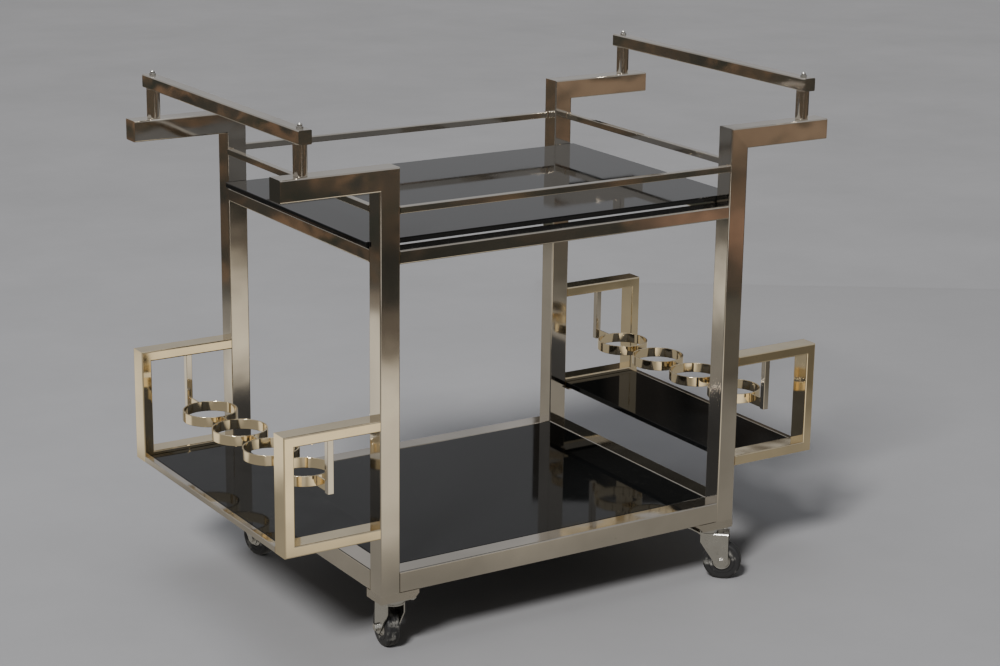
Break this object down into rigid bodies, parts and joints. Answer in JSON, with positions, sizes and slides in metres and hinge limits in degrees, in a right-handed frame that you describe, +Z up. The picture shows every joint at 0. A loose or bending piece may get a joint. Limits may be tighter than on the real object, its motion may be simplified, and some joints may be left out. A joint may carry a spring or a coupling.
{
  "type": "bar cart on wheels",
  "caption": "Bar cart on wheels: nickel square-tube frame, black glass shelves, end shelves with bottle rings, push handles and swivel casters.",
  "frame": {"origin": "centre of the cart on the floor", "axes": "+X along the cart to its right end, +Y across the cart to its back, +Z up"},
  "size_m": [1.174, 0.6888, 0.994],
  "materials": {
    "leg_nickel": "polished nickel plate, warm grey",
    "arm_nickel": "polished nickel plate, dark reflections",
    "rail_nickel": "polished nickel plate, warm grey",
    "loop_nickel": "polished nickel plate, warm",
    "ring_nickel": "polished nickel plate, warm",
    "bar_nickel": "polished nickel plate",
    "post_nickel": "turned and polished nickel plate",
    "block_nickel": "satin nickel plate",
    "caster_steel": "bright plated pressed steel",
    "fastener_steel": "bright plated steel",
    "caster_tyre": "black rubber with scuffed tread",
    "black_glass": "black glass, polished faces and edges",
    "clear_pad": "clear soft bumper"
  },
  "bodies": {
    "frame": {"leg_front_left": "leg_nickel", "leg_front_right": "leg_nickel", "leg_back_left": "leg_nickel", "leg_back_right": "leg_nickel", "arm_front_left": "arm_nickel", "arm_front_right": "arm_nickel", "arm_back_left": "arm_nickel", "arm_back_right": "arm_nickel", "upper_rail_front": "rail_nickel", "upper_rail_back": "rail_nickel", "upper_rail_left": "rail_nickel", "upper_rail_right": "rail_nickel", "lower_rail_front": "rail_nickel", "lower_rail_back": "rail_nickel", "lower_rail_left": "rail_nickel", "lower_rail_right": "rail_nickel", "gallery_rail_front": "bar_nickel", "gallery_rail_back": "bar_nickel", "gallery_rail_left": "bar_nickel", "gallery_rail_right": "bar_nickel", "top_glass": "black_glass", "bottom_glass": "black_glass", "end_glass_left": "black_glass", "end_glass_right": "black_glass", "loop_front_left": "loop_nickel", "loop_front_right": "loop_nickel", "loop_back_left": "loop_nickel", "loop_back_right": "loop_nickel", "end_rods": "bar_nickel", "bottle_rings_left": "ring_nickel", "bottle_rings_right": "ring_nickel", "ring_strips": "ring_nickel", "ring_posts": "ring_nickel", "handle_bar_left": "arm_nickel", "handle_bar_right": "arm_nickel", "handle_posts": "post_nickel", "handle_studs": "fastener_steel", "cap_nuts": "fastener_steel", "tube_end_caps": "arm_nickel", "glass_ledges": "rail_nickel", "glass_pads": "clear_pad", "caster_blocks": "block_nickel", "caster_plates": "caster_steel", "caster_screws": "fastener_steel"},
    "swivel_front_left": {"fork_front_left": "caster_steel", "axle_front_left": "fastener_steel"},
    "wheel_front_left": {"wheel_core_front_left": "caster_steel", "tyre_front_left": "caster_tyre"},
    "swivel_front_right": {"fork_front_right": "caster_steel", "axle_front_right": "fastener_steel"},
    "wheel_front_right": {"wheel_core_front_right": "caster_steel", "tyre_front_right": "caster_tyre"},
    "swivel_back_left": {"fork_back_left": "caster_steel", "axle_back_left": "fastener_steel"},
    "wheel_back_left": {"wheel_core_back_left": "caster_steel", "tyre_back_left": "caster_tyre"},
    "swivel_back_right": {"fork_back_right": "caster_steel", "axle_back_right": "fastener_steel"},
    "wheel_back_right": {"wheel_core_back_right": "caster_steel", "tyre_back_right": "caster_tyre"}
  },
  "joints": [
    {"name": "swivel_front_left_turn", "type": "hinge", "parent": "frame", "child": "swivel_front_left", "pos_m": [-0.357, -0.292, 0.0955], "axis": [0, 0, 1], "continuous": true},
    {"name": "wheel_front_left_roll", "type": "hinge", "parent": "swivel_front_left", "child": "wheel_front_left", "pos_m": [-0.35386, -0.26216, 0.0375], "axis": [-0.9945, 0.1045, 0], "continuous": true},
    {"name": "swivel_front_right_turn", "type": "hinge", "parent": "frame", "child": "swivel_front_right", "pos_m": [0.357, -0.292, 0.0955], "axis": [0, 0, 1], "continuous": true},
    {"name": "wheel_front_right_roll", "type": "hinge", "parent": "swivel_front_right", "child": "wheel_front_right", "pos_m": [0.37929, -0.31207, 0.0375], "axis": [0.6691, 0.7431, 0], "continuous": true},
    {"name": "swivel_back_left_turn", "type": "hinge", "parent": "frame", "child": "swivel_back_left", "pos_m": [-0.357, 0.292, 0.0955], "axis": [0, 0, 1], "continuous": true},
    {"name": "wheel_back_left_roll", "type": "hinge", "parent": "swivel_back_left", "child": "wheel_back_left", "pos_m": [-0.35076, 0.26266, 0.0375], "axis": [0.9781, 0.2079, 0], "continuous": true},
    {"name": "swivel_back_right_turn", "type": "hinge", "parent": "frame", "child": "swivel_back_right", "pos_m": [0.357, 0.292, 0.0955], "axis": [0, 0, 1], "continuous": true},
    {"name": "wheel_back_right_roll", "type": "hinge", "parent": "swivel_back_right", "child": "wheel_back_right", "pos_m": [0.37929, 0.31207, 0.0375], "axis": [-0.6691, 0.7431, 0], "continuous": true}
  ]
}
